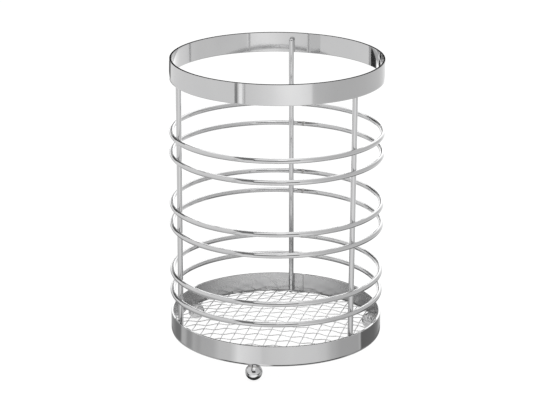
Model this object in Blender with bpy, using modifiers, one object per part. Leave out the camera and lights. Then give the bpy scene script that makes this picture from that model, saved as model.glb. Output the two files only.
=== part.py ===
"""Chrome utensil holder: a round open cage with a woven wire floor on ball feet.

Two rolled strips, the rim band and the base band, are joined by three upright
rods. Six wire hoops, in three pairs, go round the outside of the rods. The
floor is a disc of woven wire mesh, crowned in the middle, and three balls under
the base band are the feet.

Blender 4.5, metres, +Z up. The origin is on the holder's axis, at the level
that the feet stand on. Run it with blender --background --python part.py, or
from Blender's text editor.
"""
from math import acos, ceil, cos, floor, pi, radians, sin, sqrt, tau

import bpy
from mathutils import Vector

MM = 0.001

# Fits
SEAT_GAP = 0.3 * MM            # welded pieces stay this far apart
WEAVE_GAP = 0.2 * MM           # between a warp wire and the weft wire it crosses
CUTTER_OVERRUN = 2.0 * MM      # cutters run on this far past what they cut

# Bands: a flat strip rolled into a hoop, once at the rim and once at the base
BAND_OUTER_DIAMETER = 120.0 * MM
BAND_WALL = 1.2 * MM
BAND_HEIGHT = 11.7 * MM
BAND_EDGE_RADIUS = 0.35 * MM
CAGE_HEIGHT = 160.1 * MM       # base band's lower edge to rim band's upper edge

# Uprights: three rods inside the bands
UPRIGHT_DIAMETER = 3.0 * MM
UPRIGHT_TOP_DROP = 3.0 * MM    # rod top below the rim band's upper edge
UPRIGHT_END_CHAMFER = 0.3 * MM
UPRIGHT_AZIMUTHS = {"back": 81.2, "left": 199.0, "right": 317.0}

# Hoops: wire rings round the outside of the uprights, in three pairs
HOOP_WIRE_DIAMETER = 3.0 * MM
HOOP_SET_DOWN = 1.0 * MM       # how far the weld sinks a hoop into an upright
HOOP_PAIR_SPACING = 12.0 * MM
HOOP_PAIR_HEIGHT_SHARES = (0.732, 0.429, 0.137)    # of the open height between the bands

# Feet: balls welded under the base band
FOOT_BALL_DIAMETER = 9.5 * MM
FOOT_SET_DOWN = 0.95 * MM      # how far the ball's top rises past the band's lower edge
FOOT_WORN_FLAT_DEPTH = 0.1 * MM
FOOT_INSET = 1.0 * MM          # ball centre inside the band's outer face
FOOT_AZIMUTHS = {"front": 258.3, "left": 143.1, "right": 20.7}

# Floor: woven mesh of crimped wires, highest in the middle
FLOOR_WIRE_DIAMETER = 0.55 * MM
FLOOR_CROWN = 4.5 * MM
FLOOR_LIFT = 0.55 * MM         # lowest wire above the base band's lower edge
WARP_PITCH = 6.47 * MM
WEFT_PITCH = 6.63 * MM
WARP_HEADING = 77.4            # degrees from +X
WEFT_HEADING = -7.8
WARP_START_SHARE = 0.23        # of a pitch, from the axis to the first wire
WEFT_START_SHARE = 0.24

# Facets
BAND_STEPS = 64
HOOP_STEPS = 56
HOOP_WIRE_SIDES = 8
ROD_SIDES = 12
BALL_STEPS = 20
BALL_ARC_STEPS = 10
EDGE_ARC_STEPS = 1
FLOOR_BEVEL_RESOLUTION = 1
MERGE_DISTANCE = 0.01 * MM
SMOOTH_ANGLE = radians(40)

# Places that follow from the sizes above
BAND_OUTER_RADIUS = BAND_OUTER_DIAMETER / 2
BAND_INNER_RADIUS = BAND_OUTER_RADIUS - BAND_WALL
BASE_EDGE = FOOT_BALL_DIAMETER - FOOT_SET_DOWN - FOOT_WORN_FLAT_DEPTH
RIM_EDGE = BASE_EDGE + CAGE_HEIGHT
UPRIGHT_CENTRE_RADIUS = BAND_INNER_RADIUS - SEAT_GAP - UPRIGHT_DIAMETER / 2
HOOP_CENTRE_RADIUS = BAND_INNER_RADIUS - SEAT_GAP - HOOP_SET_DOWN + HOOP_WIRE_DIAMETER / 2
FOOT_CENTRE_RADIUS = BAND_OUTER_RADIUS - FOOT_INSET
FLOOR_REACH = BAND_INNER_RADIUS - SEAT_GAP
CRIMP_HEIGHT = (FLOOR_WIRE_DIAMETER + WEAVE_GAP) / 2
FLOOR_EDGE_HEIGHT = BASE_EDGE + FLOOR_LIFT + CRIMP_HEIGHT + FLOOR_WIRE_DIAMETER / 2

CHROME = {"color": (0.66, 0.67, 0.68, 1.0), "metallic": 1.0, "roughness": 0.06}
BRIGHT_WIRE = {"color": (0.62, 0.63, 0.64, 1.0), "metallic": 1.0, "roughness": 0.14}


def clear_scene():
    """Remove every object that the startup file brought."""
    for item in list(bpy.data.objects):
        bpy.data.objects.remove(item, do_unlink=True)


def make_collection(name):
    """Return a new collection in the scene."""
    collection = bpy.data.collections.new(name)
    bpy.context.scene.collection.children.link(collection)
    return collection


def make_material(name, finish):
    """Return a Principled material of one named finish."""
    material = bpy.data.materials.new(name)
    material.use_nodes = True
    shader = material.node_tree.nodes["Principled BSDF"]
    shader.inputs["Base Color"].default_value = finish["color"]
    shader.inputs["Metallic"].default_value = finish["metallic"]
    shader.inputs["Roughness"].default_value = finish["roughness"]
    material.diffuse_color = finish["color"]
    return material


def place(name, data, collection, location, finish=None):
    """Make an object of a mesh or curve, at its place, with its own material."""
    item = bpy.data.objects.new(name, data)
    item.location = location
    collection.objects.link(item)
    if finish:
        data.materials.append(make_material(name, finish))
    return item


def make_cutter(item):
    """Mark an object as a cutter, which is no part of the model."""
    item.hide_render = True
    item.display_type = "WIRE"
    return item


def cut(item, cutter):
    """Take a cutter's shape away from an object."""
    modifier = item.modifiers.new("cut_" + cutter.name, "BOOLEAN")
    modifier.operation = "DIFFERENCE"
    modifier.solver = "EXACT"
    modifier.object = cutter


def on_circle(radius, azimuth, height):
    """Return the point at a radius and an azimuth in degrees."""
    angle = radians(azimuth)
    return Vector((radius * cos(angle), radius * sin(angle), height))


# Turned pieces: the bands, the hoops and the feet

def turned(name, profile, closed, steps, collection, location, finish=None):
    """Turn a profile, which runs down its outer side, about the object's Z axis."""
    edges = [(index, index + 1) for index in range(len(profile) - 1)]
    if closed:
        edges.append((len(profile) - 1, 0))
    mesh = bpy.data.meshes.new(name)
    mesh.from_pydata([(x, 0.0, z) for x, z in profile], edges, [])
    item = place(name, mesh, collection, location, finish)
    screw = item.modifiers.new("turn", "SCREW")
    screw.axis = "Z"
    screw.angle = tau
    screw.steps = steps
    screw.render_steps = steps
    screw.use_merge_vertices = True
    screw.merge_threshold = MERGE_DISTANCE
    screw.use_smooth_shade = True
    return item


def strip_profile(inner, outer, height, edge_radius):
    """Return a strip's section, from z 0 up, with its four edges rounded."""
    corners = (
        (outer - edge_radius, height - edge_radius, 0.0),
        (outer - edge_radius, edge_radius, pi / 2),
        (inner + edge_radius, edge_radius, pi),
        (inner + edge_radius, height - edge_radius, 3 * pi / 2),
    )
    profile = []
    for x, z, start in corners:
        for step in range(EDGE_ARC_STEPS + 1):
            angle = start + pi / 2 * step / EDGE_ARC_STEPS
            profile.append((x + edge_radius * sin(angle), z + edge_radius * cos(angle)))
    return profile


def wire_profile(ring_radius, wire_radius):
    """Return a ring wire's round section, centred on z 0."""
    angles = [tau * side / HOOP_WIRE_SIDES for side in range(HOOP_WIRE_SIDES)]
    return [(ring_radius + wire_radius * sin(a), wire_radius * cos(a)) for a in angles]


def ball_profile(radius, flat_depth):
    """Return a ball's half section, centred on z 0, with a flat worn under it."""
    last = acos((flat_depth - radius) / radius)
    angles = [last * step / BALL_ARC_STEPS for step in range(BALL_ARC_STEPS + 1)]
    arc = [(radius * sin(a), radius * cos(a)) for a in angles]
    return arc + [(0.0, flat_depth - radius)]


def make_band(name, lower_edge, collection):
    """Make one rolled strip, standing on its lower edge."""
    edge_radius = min(BAND_EDGE_RADIUS, BAND_WALL / 3)
    profile = strip_profile(BAND_INNER_RADIUS, BAND_OUTER_RADIUS, BAND_HEIGHT, edge_radius)
    return turned(name, profile, True, BAND_STEPS, collection, (0, 0, lower_edge), CHROME)


def hoop_heights():
    """Return the hoops' centre heights, top hoop first."""
    open_bottom = BASE_EDGE + BAND_HEIGHT
    open_height = RIM_EDGE - BAND_HEIGHT - open_bottom
    heights = []
    for share in HOOP_PAIR_HEIGHT_SHARES:
        middle = open_bottom + share * open_height
        heights += [middle + HOOP_PAIR_SPACING / 2, middle - HOOP_PAIR_SPACING / 2]
    return heights


def make_hoops(collection, cutters):
    """Make the six wire hoops, and a wider cutter for each one's seats."""
    seats = []
    for number, height in enumerate(hoop_heights(), start=1):
        profile = wire_profile(HOOP_CENTRE_RADIUS, HOOP_WIRE_DIAMETER / 2)
        turned(f"hoop_wire_{number}", profile, True, HOOP_STEPS, collection, (0, 0, height), CHROME)
        profile = wire_profile(HOOP_CENTRE_RADIUS, HOOP_WIRE_DIAMETER / 2 + SEAT_GAP)
        seat = turned(f"hoop_seat_{number}", profile, True, HOOP_STEPS, cutters, (0, 0, height))
        seats.append(make_cutter(seat))
    return seats


def make_feet(collection, cutters):
    """Make the ball feet, each cut away where the base band sits down on it."""
    radius = FOOT_BALL_DIAMETER / 2
    reach = BAND_OUTER_RADIUS + SEAT_GAP
    top = FOOT_SET_DOWN + CUTTER_OVERRUN
    profile = [(0.0, top), (reach, top), (reach, -SEAT_GAP), (0.0, -SEAT_GAP)]
    seat = turned("foot_seat", profile, False, BAND_STEPS, cutters, (0, 0, BASE_EDGE))
    make_cutter(seat)
    for side, azimuth in FOOT_AZIMUTHS.items():
        centre = on_circle(FOOT_CENTRE_RADIUS, azimuth, radius - FOOT_WORN_FLAT_DEPTH)
        profile = ball_profile(radius, FOOT_WORN_FLAT_DEPTH)
        foot = turned(f"foot_ball_{side}", profile, False, BALL_STEPS, collection, centre, CHROME)
        cut(foot, seat)


# Uprights

def make_uprights(collection, seats):
    """Make the three rods, notched where the weld sinks each hoop into them."""
    lower_end = BASE_EDGE + SEAT_GAP
    upper_end = RIM_EDGE - UPRIGHT_TOP_DROP
    chamfer = min(UPRIGHT_END_CHAMFER, UPRIGHT_DIAMETER / 4)
    for side, azimuth in UPRIGHT_AZIMUTHS.items():
        bpy.ops.mesh.primitive_cylinder_add(
            vertices=ROD_SIDES,
            radius=UPRIGHT_DIAMETER / 2,
            depth=upper_end - lower_end,
        )
        made = bpy.context.object
        mesh = made.data
        bpy.data.objects.remove(made, do_unlink=True)
        mesh.name = f"upright_{side}"
        centre = on_circle(UPRIGHT_CENTRE_RADIUS, azimuth, (lower_end + upper_end) / 2)
        rod = place(f"upright_{side}", mesh, collection, centre, CHROME)
        rod.rotation_euler.z = radians(azimuth)
        mesh.shade_smooth()
        mesh.set_sharp_from_angle(angle=SMOOTH_ANGLE)
        bevel = rod.modifiers.new("end_chamfer", "BEVEL")
        bevel.width = chamfer
        bevel.segments = 1
        bevel.limit_method = "ANGLE"
        bevel.angle_limit = SMOOTH_ANGLE
        for seat in seats:
            cut(rod, seat)


# Floor

def crowned_height(point):
    """Return the floor's mid height: a parabola, highest on the axis."""
    share = min(point.length / FLOOR_REACH, 1.0)
    return FLOOR_EDGE_HEIGHT + FLOOR_CROWN * (1 - share * share)


def run_to_wall(offset, heading, sense):
    """Return how far a floor wire runs one way before the band or an upright."""
    along = Vector((cos(heading), sin(heading)))
    across = Vector((-sin(heading), cos(heading)))
    wire_radius = FLOOR_WIRE_DIAMETER / 2
    far_side = abs(offset) + wire_radius
    run = sqrt(FLOOR_REACH * FLOOR_REACH - far_side * far_side)
    keep_out = UPRIGHT_DIAMETER / 2 + wire_radius + SEAT_GAP
    for azimuth in UPRIGHT_AZIMUTHS.values():
        rod = on_circle(UPRIGHT_CENTRE_RADIUS, azimuth, 0.0).to_2d()
        miss = abs(rod.dot(across) - offset)
        ahead = rod.dot(along) * sense
        if miss < keep_out and ahead > 0:
            run = min(run, ahead - sqrt(keep_out * keep_out - miss * miss))
    return run


def wire_points(index, warp):
    """Return one floor wire's points: its two ends and each crossing between."""
    if warp:
        heading, pitch, start = radians(WARP_HEADING), WARP_PITCH, WARP_START_SHARE
        other, other_pitch, other_start = radians(WEFT_HEADING), WEFT_PITCH, WEFT_START_SHARE
        side = -1
    else:
        heading, pitch, start = radians(WEFT_HEADING), WEFT_PITCH, WEFT_START_SHARE
        other, other_pitch, other_start = radians(WARP_HEADING), WARP_PITCH, WARP_START_SHARE
        side = 1
    along = Vector((cos(heading), sin(heading)))
    across = Vector((-sin(heading), cos(heading)))
    offset = side * (index + start) * pitch
    # Crossing number n lies at first + n * spacing along the wire
    other_across = Vector((-sin(other), cos(other))) * -side
    spacing = other_pitch / along.dot(other_across)
    first = (other_start * other_pitch - offset * across.dot(other_across)) / along.dot(other_across)
    low = -run_to_wall(offset, heading, -1)
    high = run_to_wall(offset, heading, 1)
    numbers = range(ceil((low - first) / spacing), floor((high - first) / spacing) + 1)
    margin = FLOOR_WIRE_DIAMETER / 5
    stations = [first + number * spacing for number in numbers]
    stations = [at for at in stations if low + margin < at < high - margin]
    points = []
    for at in [low] + stations + [high]:
        turn = (at - first) / spacing
        phase = (turn + index) % 2.0
        lift = 1 - 2 * phase if phase < 1 else 2 * phase - 3
        place_2d = across * offset + along * at
        height = crowned_height(place_2d) - side * lift * CRIMP_HEIGHT
        points.append((place_2d.x, place_2d.y, height))
    return points


def wire_numbers(pitch, start):
    """Return the numbers of the wires that cross the disc at least a pitch long."""
    widest = sqrt(FLOOR_REACH * FLOOR_REACH - pitch * pitch) - FLOOR_WIRE_DIAMETER / 2
    return range(ceil(-widest / pitch - start), floor(widest / pitch - start) + 1)


def make_floor(collection):
    """Make the woven floor, wire by wire, first the warp and then the weft."""
    sets = (("warp", True, WARP_PITCH, WARP_START_SHARE), ("weft", False, WEFT_PITCH, WEFT_START_SHARE))
    for set_name, warp, pitch, start in sets:
        for number, index in enumerate(wire_numbers(pitch, start), start=1):
            name = f"floor_{set_name}_{number:02d}"
            curve = bpy.data.curves.new(name, "CURVE")
            curve.dimensions = "3D"
            curve.bevel_depth = FLOOR_WIRE_DIAMETER / 2
            curve.bevel_resolution = FLOOR_BEVEL_RESOLUTION
            curve.use_fill_caps = True
            curve.render_resolution_u = 0
            points = wire_points(index, warp)
            spline = curve.splines.new("POLY")
            spline.points.add(len(points) - 1)
            for point, co in zip(spline.points, points):
                point.co = (*co, 1.0)
            place(name, curve, collection, (0, 0, 0), BRIGHT_WIRE)


def main():
    """Build the holder."""
    clear_scene()
    parts = make_collection("cutlery_holder")
    cutters = make_collection("cutters")
    make_band("rim_band", RIM_EDGE - BAND_HEIGHT, parts)
    make_band("base_band", BASE_EDGE, parts)
    seats = make_hoops(parts, cutters)
    make_uprights(parts, seats)
    make_floor(parts)
    make_feet(parts, cutters)


main()
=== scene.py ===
"""Chrome cutlery holder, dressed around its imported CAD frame.

Two rolled strips, the rim band and the base band, are joined by three upright
rods. Six wire hoops go round the rods in three pairs, a disc of woven wire mesh
is the floor, and three balls welded under the base band are the feet. Every
piece replaces its CAD node with a finer surface of the same sizes: rounded
strip edges, butt welds, weld nuggets, a smooth crimp in the floor wires and a
weld bead on each ball.

Blender 4.5, metres, +Z up. The origin is on the holder's axis, at the level
that the feet stand on.
"""

import logging
from dataclasses import dataclass, field
from enum import Enum
from math import ceil, floor, pi, radians, tau

import bpy
import numpy as np
from bpy.types import Material, Mesh, NodeSocket, NodeTree, Object, World
from mathutils import Matrix, Vector


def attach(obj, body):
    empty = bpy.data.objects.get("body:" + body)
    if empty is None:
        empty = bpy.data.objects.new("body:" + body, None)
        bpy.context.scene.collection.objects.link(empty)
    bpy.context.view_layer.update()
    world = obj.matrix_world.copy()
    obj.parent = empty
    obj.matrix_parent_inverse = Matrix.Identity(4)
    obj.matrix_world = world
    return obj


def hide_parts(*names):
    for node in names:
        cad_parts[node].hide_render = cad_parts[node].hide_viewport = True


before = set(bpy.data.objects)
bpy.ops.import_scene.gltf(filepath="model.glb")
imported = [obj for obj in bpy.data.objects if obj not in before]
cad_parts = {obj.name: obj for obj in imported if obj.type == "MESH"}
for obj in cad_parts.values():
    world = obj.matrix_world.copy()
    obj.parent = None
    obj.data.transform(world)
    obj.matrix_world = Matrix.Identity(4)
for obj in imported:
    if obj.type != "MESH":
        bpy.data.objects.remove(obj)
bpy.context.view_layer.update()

LOG = logging.getLogger("cutlery_holder")
MM = 0.001
BODY = "root"
WELD = "weld_heat"
LAY = "lay"
UP = np.array((0.0, 0.0, 1.0))
WHITE = (1.0, 1.0, 1.0, 1.0)

Pair = tuple[float, float]
Triple = tuple[float, float, float]
Table = tuple[Pair, ...]


class Slot(Enum):
    """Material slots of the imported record."""

    STRIP = "strip"
    WIRE = "hoop_wire"
    BALL = "ball"
    MESH = "mesh_wire"


class Run(Enum):
    """Which way a floor wire runs."""

    WARP = "warp"
    WEFT = "weft"


@dataclass(frozen=True)
class Cage:
    """The sizes that several sub-assemblies share, in metres.

    Attributes:
        band_outer_radius: Outer radius of both bands.
        band_wall: Their wall.
        band_height: Their height.
        base_edge: Height of the base band's lower edge.
        rim_edge: Height of the rim band's upper edge.
        upright_radius: From the axis to each upright's.
        upright_diameter: Of each upright.
        hoop_radius: From the axis to the middle of the hoops' wire.
        hoop_diameter: Of that wire.
        pair_shares: Height of each pair of hoops as a share of the open height.
        pair_spacing: Distance between the two hoops of a pair.
        hoop_heights: Height of each hoop, from the top.
        upright_azimuths: Name and azimuth in degrees of each upright.
        foot_azimuths: Name and azimuth in degrees of each foot.
    """

    band_outer_radius: float = 60.0 * MM
    band_wall: float = 1.2 * MM
    band_height: float = 11.7 * MM
    base_edge: float = 8.45 * MM
    rim_edge: float = 168.55 * MM
    upright_radius: float = 57.0 * MM
    upright_diameter: float = 3.0 * MM
    hoop_radius: float = 59.0 * MM
    hoop_diameter: float = 3.0 * MM
    pair_shares: Triple = (0.732, 0.429, 0.137)
    pair_spacing: float = 12.0 * MM
    hoop_heights: tuple[float, ...] = field(init=False)
    upright_azimuths: tuple[tuple[str, float], ...] = (("back", 81.2), ("left", 199.0), ("right", 317.0))
    foot_azimuths: tuple[tuple[str, float], ...] = (("front", 258.3), ("left", 143.1), ("right", 20.7))

    def __post_init__(self) -> None:
        """Work out the hoops' heights from the pairs' shares of the open height."""
        bottom = self.base_edge + self.band_height
        height = self.rim_edge - self.band_height - bottom
        pairs = [bottom + share * height for share in self.pair_shares]
        heights = tuple(middle + side * self.pair_spacing / 2 for middle in pairs for side in (1, -1))
        object.__setattr__(self, "hoop_heights", heights)

    @property
    def band_inner_radius(self) -> float:
        """Inner radius of both bands."""
        return self.band_outer_radius - self.band_wall


CAGE = Cage()


# Surfaces

@dataclass
class Shell:
    """One closed surface as arrays.

    Attributes:
        points: Vertex places, one row each.
        corners: Vertex number at each face corner, face after face.
        sizes: How many corners each face has.
        lay: Length along and across the surface at each face corner, in metres.
        heat: Closeness to a weld at each vertex, 0 to 1, which on the rim's upper edges also carries a
            painted dark line.
    """

    points: np.ndarray
    corners: np.ndarray
    sizes: np.ndarray
    lay: np.ndarray
    heat: np.ndarray


def skin(
    grid: np.ndarray,
    rows_lay: np.ndarray,
    columns_lay: np.ndarray,
    heat: np.ndarray,
    ends: tuple[np.ndarray, np.ndarray] | None = None,
) -> Shell:
    """Close a grid of points into a surface that faces outwards.

    Columns always run round and close on themselves. Rows close too on a ring,
    which has no end points, and otherwise a fan closes each end row to its end
    point. The sign of the enclosed volume, the sum of each triangle's first corner
    times the cross product of the other two, says whether to turn the faces over.

    Args:
        grid: Points as (rows, columns, 3).
        rows_lay: Length along the surface for each row, one more on a ring.
        columns_lay: Length across it for each column, and one more.
        heat: Closeness to a weld, as (rows, columns) or one value for each row.
        ends: The two end points of a surface that is no ring.

    Returns:
        The closed shell.
    """
    rows, columns = grid.shape[:2]
    spans = rows if ends is None else rows - 1
    row, column = (part.ravel() for part in np.indices((spans, columns)))
    along = np.stack((row, row + 1, row + 1, row), axis=1)
    across = np.stack((column, column, column + 1, column + 1), axis=1)
    quads = along % rows * columns + across % columns
    lay = np.stack((rows_lay[along], columns_lay[across]), axis=2)
    points = grid.reshape(-1, 3)
    warmth = np.broadcast_to(heat if heat.ndim == 2 else heat[:, None], (rows, columns)).ravel()
    corners, sizes, lays = [quads.ravel()], [np.full(len(quads), 4)], [lay.reshape(-1, 2)]
    if ends is not None:
        side = np.arange(columns)
        after = (side + 1) % columns
        top = (rows - 1) * columns
        fan_across = columns_lay[np.stack((side, side, side + 1), axis=1)]
        fans = ((0, side, after), (rows - 1, top + after, top + side))
        for number, (at, left, right) in enumerate(fans):
            middle = np.full(columns, len(points) + number)
            corners.append(np.stack((middle, left, right), axis=1).ravel())
            sizes.append(np.full(columns, 3))
            fan_lay = np.stack((np.full((columns, 3), rows_lay[at]), fan_across), axis=2)
            lays.append(fan_lay.reshape(-1, 2))
        points = np.vstack((points, *ends))
        warmth = np.append(warmth, (warmth[0], warmth[-1]))
    shell = Shell(points, np.concatenate(corners), np.concatenate(sizes), np.vstack(lays), warmth)
    volume = 0.0
    for triangle in (quads[:, [0, 1, 2]], quads[:, [0, 2, 3]]):
        first, second, third = (points[corner] for corner in triangle.T)
        volume += np.einsum("ij,ij->", first, np.cross(second, third))
    return shell if volume > 0 else turn_over(shell)


def turn_over(shell: Shell) -> Shell:
    """Put each face's corners in the opposite order.

    Args:
        shell: The shell.

    Returns:
        The shell turned inside out.
    """
    last = np.cumsum(shell.sizes) - 1
    first = last - shell.sizes + 1
    spot = np.arange(len(shell.corners))
    face = np.repeat(np.arange(len(shell.sizes)), shell.sizes)
    order = first[face] + last[face] - spot
    return Shell(shell.points, shell.corners[order], shell.sizes, shell.lay[order], shell.heat)


def joined(shells: list[Shell]) -> Shell:
    """Put several shells into one.

    Args:
        shells: The shells.

    Returns:
        One shell with their points and faces in the same order.
    """
    starts = np.cumsum([0] + [len(shell.points) for shell in shells[:-1]])
    return Shell(
        np.vstack([shell.points for shell in shells]),
        np.concatenate([shell.corners + start for shell, start in zip(shells, starts)]),
        np.concatenate([shell.sizes for shell in shells]),
        np.vstack([shell.lay for shell in shells]),
        np.concatenate([shell.heat for shell in shells]),
    )


def as_mesh(name: str, shell: Shell) -> Mesh:
    """Put a shell's arrays into a smooth shaded mesh.

    Args:
        name: The mesh's name.
        shell: The surface.

    Returns:
        The mesh, with its lay as a UV map and its weld heat as an attribute.
    """
    mesh = bpy.data.meshes.new(name)
    mesh.vertices.add(len(shell.points))
    mesh.vertices.foreach_set("co", shell.points.astype(np.float32).ravel())
    mesh.loops.add(len(shell.corners))
    mesh.loops.foreach_set("vertex_index", shell.corners.astype(np.int32))
    mesh.polygons.add(len(shell.sizes))
    mesh.polygons.foreach_set("loop_start", (np.cumsum(shell.sizes) - shell.sizes).astype(np.int32))
    mesh.update(calc_edges=True)
    mesh.shade_smooth()
    mesh.uv_layers.new(name=LAY).data.foreach_set("uv", shell.lay.astype(np.float32).ravel())
    heat = mesh.attributes.new(WELD, "FLOAT", "POINT")
    heat.data.foreach_set("value", shell.heat.astype(np.float32))
    return mesh


def around(azimuth: np.ndarray | float) -> np.ndarray:
    """Return the outward unit vector at each azimuth, in radians."""
    return np.stack((np.cos(azimuth), np.sin(azimuth), np.zeros_like(azimuth)), axis=-1)


def circle(sides: int, radius: float) -> tuple[np.ndarray, np.ndarray]:
    """Return the angles round a circle, and the length round it at each and at its end."""
    return np.linspace(0, tau, sides, endpoint=False), np.linspace(0, tau, sides + 1) * radius


def bump(distance: np.ndarray, width: float) -> np.ndarray:
    """Return a bell of height 1: e to the minus square of distance over width."""
    return np.exp(-np.square(distance / width))


def arc_from(azimuth: np.ndarray, centre: float, radius: float) -> np.ndarray:
    """Return the signed arc length from a centre azimuth, in radians, the short way round."""
    return (np.mod(azimuth - centre + pi, tau) - pi) * radius


def stations(count: int, dense: list[tuple[float, float, int]]) -> np.ndarray:
    """Return azimuths in radians, evenly spaced and closer round some places.

    Args:
        count: How many even azimuths.
        dense: Centre and half width in degrees and how many more, for each place.

    Returns:
        Sorted azimuths from 0 up to a full turn.
    """
    sets = [np.linspace(0.0, tau, count, endpoint=False)]
    for centre, half, more in dense:
        sets.append(radians(centre) + radians(half) * np.linspace(-1, 1, more) ** 3)
    turned = np.sort(np.mod(np.concatenate(sets), tau))
    # Azimuths that coincide would leave faces of no width
    keep = np.diff(turned, append=turned[0] + tau) > 1e-5
    return turned[keep]


def length_along(points: np.ndarray) -> np.ndarray:
    """Return the length along a line of points at each of them, from 0 at the first."""
    return np.append(0.0, np.cumsum(np.linalg.norm(np.diff(points, axis=0), axis=1)))


def nugget(centre: np.ndarray, azimuth: float, reach: Triple, steps: int = 20, heat: float = 0.1) -> Shell:
    """Make a weld nugget: an ellipsoid whose axes point out, round and up.

    A point is centre + out·a·sin(p)·cos(q) + round·b·sin(p)·sin(q) + up·c·cos(p).

    Args:
        centre: Its middle.
        azimuth: The outward direction's azimuth, in radians.
        reach: Half sizes a, b and c.
        steps: How many steps round it.
        heat: How dull the weld left it, 0 to 1.

    Returns:
        The closed nugget.
    """
    axes = around(azimuth), around(azimuth + pi / 2), UP
    down = np.linspace(0, pi, steps // 2 + 1)[1:-1, None]
    turn, lay_round = circle(steps, max(reach))
    unit = np.sin(down) * np.cos(turn), np.sin(down) * np.sin(turn), np.cos(down) * np.ones_like(turn)
    grid = centre + sum(part[..., None] * axis * size for part, axis, size in zip(unit, axes, reach))
    poles = centre + UP * reach[2], centre - UP * reach[2]
    return skin(grid, down.ravel() * max(reach), lay_round, np.full(len(down), heat), poles)


# Finishes

def linear(hex_colour: str) -> tuple[float, float, float, float]:
    """Turn an sRGB hex colour into linear light.

    Args:
        hex_colour: The colour, with its hash.

    Returns:
        Linear red, green, blue and alpha.
    """
    parts = np.array([int(hex_colour[at:at + 2], 16) / 255 for at in (1, 3, 5)])
    low, high = parts / 12.92, ((parts + 0.055) / 1.055) ** 2.4
    return (*np.where(parts <= 0.04045, low, high).tolist(), 1.0)


def add_node(
    tree: NodeTree,
    kind: str,
    inputs: dict | None = None,
    give: int | str = 0,
    stops: Table = (),
    **settings,
) -> NodeSocket | None:
    """Add a shader node with its settings, values and links.

    Args:
        tree: The node tree.
        kind: The node's type, without the ShaderNode that it starts with.
        inputs: For each input, by name or number, a value or a socket to link.
        give: The output to return, by name or number.
        stops: Place and brightness of each stop of a colour ramp.
        settings: Properties of the node.

    Returns:
        That output, or None from a node that has none.
    """
    node = tree.nodes.new(f"ShaderNode{kind}")
    if stops:
        elements = node.color_ramp.elements
        for element, (place, value) in zip(elements, (stops[0], stops[-1])):
            element.position, element.color = place, (value, value, value, 1.0)
        for place, value in stops[1:-1]:
            elements.new(place).color = (value, value, value, 1.0)
    for name, value in settings.items():
        setattr(node, name, value)
    for key, value in (inputs or {}).items():
        if isinstance(value, NodeSocket):
            tree.links.new(value, node.inputs[key])
        else:
            node.inputs[key].default_value = value
    return node.outputs[give] if node.outputs else None


def cleared(owner: Material | World) -> NodeTree:
    """Turn on the nodes of a material or a world and take them out.

    Args:
        owner: The material or world.

    Returns:
        Its empty node tree.
    """
    owner.use_nodes = True
    owner.node_tree.nodes.clear()
    return owner.node_tree


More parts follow.
